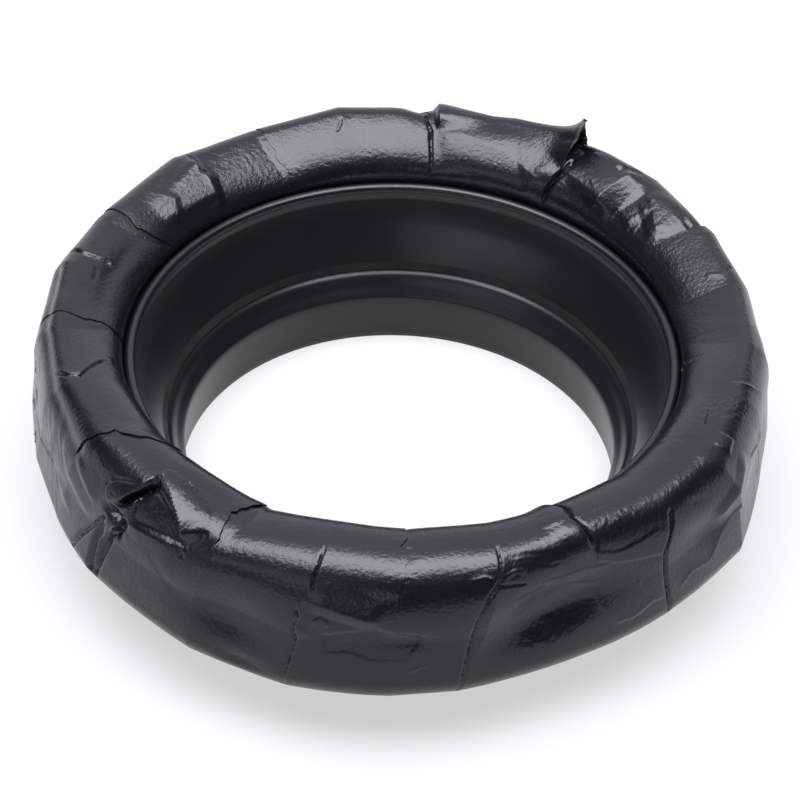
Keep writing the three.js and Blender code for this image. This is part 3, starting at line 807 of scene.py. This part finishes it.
def lowest_nearby(relief):
    """The relief's lowest value round each point, so that the coarse inner face stays under the outer."""
    lowest = np.minimum(relief, 0)
    lowest[:, [0, -1]] = relief[:, [0, -1]]
    for axis in (0, 1):
        padding = [(0, 0), (0, 0)]
        padding[axis] = (BACK_STEP, BACK_STEP)
        padded = np.pad(lowest, padding, mode="edge")
        length = lowest.shape[axis]
        spans = [np.take(padded, np.arange(i, i + length), axis) for i in range(2 * BACK_STEP + 1)]
        low = np.min(spans, axis=0)
        if axis == 1:
            low[:, [0, -1]] = lowest[:, [0, -1]]
        lowest = low
    return lowest


def fine_shell(name, outer, inner):
    """A closed body from a fine grid of outer points and a coarse grid of inner points."""
    rows, columns = outer.shape[:2]
    fine = np.arange(rows * columns).reshape(rows, columns)
    coarse = rows * columns + np.arange(inner.shape[0] * inner.shape[1]).reshape(inner.shape[:2])

    def quads(grid):
        corners = (grid[:-1, :-1], grid[:-1, 1:], grid[1:, 1:], grid[1:, :-1])
        return np.stack([corner.ravel() for corner in corners], -1)

    faces = quads(fine)[:, ::-1].tolist() + quads(coarse).tolist()
    sides = [
        (fine[0], coarse[0]), (fine[:, -1], coarse[:, -1]),
        (fine[-1, ::-1], coarse[-1, ::-1]), (fine[::-1, 0], coarse[::-1, 0]),
    ]
    for edge, back in sides:
        for i in range(len(back) - 1):
            a, b, c, d, e = edge[i * BACK_STEP:(i + 1) * BACK_STEP + 1]
            near, far = back[i], back[i + 1]
            faces += [(a, b, near), (b, c, near), (c, far, near), (c, d, far), (d, e, far)]
    vertices = np.concatenate([outer.reshape(-1, 3), inner.reshape(-1, 3)])
    piece = closed_mesh(name, vertices, faces)
    piece.data.set_sharp_from_angle(angle=radians(50))
    return piece


FILM_COLOUR = (0.0040, 0.0038, 0.0050, 1.0)
FILM_IOR = 1.42
FILM_ROUGHNESS = (0.23, 0.32)


def glossy_film():
    """Glossy black film, with a fine grain in its gloss."""
    material, tree, shader = new_material("glossy_film")
    noise = add_grain(tree, fine=1300, broad=90)
    shader.inputs["Base Color"].default_value = FILM_COLOUR
    shader.inputs["IOR"].default_value = FILM_IOR
    gloss = spread(tree, noise.outputs["Broad"], 0.3, 0.7, *FILM_ROUGHNESS)
    tree.links.new(gloss, shader.inputs["Roughness"])
    add_bump(tree, shader, noise.outputs["Fine"], 1.0, 0.00009)
    return material


film = glossy_film()
for turn_index in range(len(SEAMS)):
    turn = film_turn(turn_index)
    turn.data.materials.append(film)
    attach(turn, "root")
    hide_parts("film_wrap")


# Floor and light
# A small white studio floor in a dark room, with a pale backdrop behind and a low pale haze at the
# sides. A wide soft box hangs overhead, and a smaller one stands low at the front left.

FLOOR_COLOUR = (0.45, 0.45, 0.45, 1.0)
FLOOR_HALF = 0.26
FLOOR_DROP = 0.0001
FLOOR_WHITE = 0.60


def combine(tree, operation, first, second):
    """A value worked out from two others, each of them a node's output or a number."""
    node = tree.nodes.new("ShaderNodeMath")
    node.operation = operation
    for socket, value in zip(node.inputs, (first, second)):
        if isinstance(value, float):
            socket.default_value = value
        else:
            tree.links.new(value, socket)
    return node.outputs["Value"]


def pale_floor():
    """A flat floor just under the horn's rim. It takes the shadow, and is lightened to white where the
    camera or a reflection sees it."""
    corners = [(-1, -1), (1, -1), (1, 1), (-1, 1)]
    mesh = bpy.data.meshes.new("floor")
    mesh.from_pydata([(x * FLOOR_HALF, y * FLOOR_HALF, -FLOOR_DROP) for x, y in corners], [], [(0, 1, 2, 3)])
    floor = bpy.data.objects.new("floor", mesh)
    bpy.context.scene.collection.objects.link(floor)
    material, tree, shader = new_material("pale_floor")
    shader.inputs["Base Color"].default_value = FLOOR_COLOUR
    shader.inputs["Roughness"].default_value = 0.9
    shader.inputs["Specular IOR Level"].default_value = 0.1
    path = tree.nodes.new("ShaderNodeLightPath")
    seen = combine(tree, "ADD", path.outputs["Is Camera Ray"], path.outputs["Is Glossy Ray"])
    seen = combine(tree, "ADD", seen, path.outputs["Is Transmission Ray"])
    white = tree.nodes.new("ShaderNodeEmission")
    white.inputs["Strength"].default_value = 1.0
    mix = tree.nodes.new("ShaderNodeMixShader")
    tree.links.new(spread(tree, seen, 0, 1, 0, FLOOR_WHITE), mix.inputs["Fac"])
    tree.links.new(shader.outputs["BSDF"], mix.inputs[1])
    tree.links.new(white.outputs["Emission"], mix.inputs[2])
    tree.links.new(mix.outputs["Shader"], tree.nodes["Material Output"].inputs["Surface"])
    mesh.materials.append(material)


LAMP_COLOUR = (0.93, 0.92, 1.0)


def soft_box(name, centre, aim, size, radiance):
    """A rectangular soft box that looks at a point, with the same brightness all over."""
    light = bpy.data.lights.new(name, "AREA")
    light.shape = "RECTANGLE"
    light.size, light.size_y = size
    light.energy = radiance * pi * size[0] * size[1]
    light.color = LAMP_COLOUR
    box = bpy.data.objects.new(name, light)
    box.location = centre
    box.rotation_mode = "QUATERNION"
    box.rotation_quaternion = (Vector(aim) - Vector(centre)).to_track_quat("-Z", "Y")
    bpy.context.scene.collection.objects.link(box)


# Directions are those of a unit sphere. The backdrop ends to the sides and leans back by its slope, the
# haze ends upwards, and towards the front there is none.
PALE_SKY = (1.20, 1.17, 1.30, 1.0)
DARK_SKY = (0.010, 0.010, 0.011, 1.0)
WHITE = (1.0, 1.0, 1.0, 1.0)
BACKDROP_HALF = (0.45, 0.75)
BACKDROP_SLOPE = 0.30
BACKDROP_EDGE = 0.05
SIDE_LEVEL = 0.04
HAZE_TOP = (0.02, 0.13)
HAZE_FRONT = (-0.60, -0.05)


def pale_sky():
    """The room that the object reflects: a pale backdrop, a low haze and darkness elsewhere. The camera
    itself sees white."""
    world = bpy.data.worlds.new("studio")
    bpy.context.scene.world = world
    world.use_nodes = True
    tree = world.node_tree
    place = tree.nodes.new("ShaderNodeTexCoord")
    split = tree.nodes.new("ShaderNodeSeparateXYZ")
    tree.links.new(place.outputs["Generated"], split.inputs["Vector"])
    x, y, z = (split.outputs[axis] for axis in "XYZ")
    middle = spread(tree, combine(tree, "ABSOLUTE", x, 0.0), *BACKDROP_HALF, 1, SIDE_LEVEL)
    behind = combine(tree, "SUBTRACT", y, combine(tree, "MULTIPLY", z, BACKDROP_SLOPE))
    backdrop = combine(tree, "MULTIPLY", middle, spread(tree, behind, -BACKDROP_EDGE, BACKDROP_EDGE, 0, 1))
    haze = combine(tree, "MULTIPLY", spread(tree, z, *HAZE_TOP, 1, 0), spread(tree, y, *HAZE_FRONT, 0, 1))
    mix = tree.nodes.new("ShaderNodeMix")
    mix.data_type = "RGBA"
    tree.links.new(combine(tree, "MAXIMUM", backdrop, haze), mix.inputs["Factor"])
    mix.inputs["A"].default_value = DARK_SKY
    mix.inputs["B"].default_value = PALE_SKY
    path = tree.nodes.new("ShaderNodeLightPath")
    seen = tree.nodes.new("ShaderNodeMix")
    seen.data_type = "RGBA"
    tree.links.new(path.outputs["Is Camera Ray"], seen.inputs["Factor"])
    tree.links.new(mix.outputs["Result"], seen.inputs["A"])
    seen.inputs["B"].default_value = WHITE
    tree.links.new(seen.outputs["Result"], tree.nodes["Background"].inputs["Color"])


pale_floor()
pale_sky()
soft_box("overhead_box", centre=(-0.10, -0.12, 1.25), aim=(-0.10, -0.12, 0), size=(1.70, 0.92), radiance=11.8)
soft_box("fill_box", centre=(-0.62, -1.05, 0.42), aim=(0, 0, 0.02), size=(1.40, 0.36), radiance=1.7)
bpy.context.scene.view_settings.view_transform = "Standard"


# Camera
# It looks down on the seal from the front, as in the photograph.

CAMERA_ELEVATION = 41.76
CAMERA_DISTANCE = 0.650
CAMERA_TARGET = (0, 0, 0.0139)
CAMERA_ROLL = -2.42
FOCAL_LENGTH = 150.9
PHOTO_SIZE = 800
PHOTO_SHIFT = (0.2, 22.1)


def photo_camera():
    """The camera, with the small roll and shift of the photograph's framing."""
    data = bpy.data.cameras.new("photo_camera")
    data.lens, data.sensor_width = FOCAL_LENGTH, 36
    data.shift_x, data.shift_y = (shift / PHOTO_SIZE for shift in PHOTO_SHIFT)
    data.clip_start, data.clip_end = 0.01, 50
    camera = bpy.data.objects.new("photo_camera", data)
    bpy.context.scene.collection.objects.link(camera)
    rise = radians(CAMERA_ELEVATION)
    back = Vector((0, -cos(rise), sin(rise)))
    camera.rotation_mode = "QUATERNION"
    camera.rotation_quaternion = (Matrix.Rotation(radians(CAMERA_ROLL), 4, -back)
                                  @ (-back).to_track_quat("-Z", "Y").to_matrix().to_4x4()).to_quaternion()
    camera.location = Vector(CAMERA_TARGET) + back * CAMERA_DISTANCE
    bpy.context.scene.camera = camera


photo_camera()
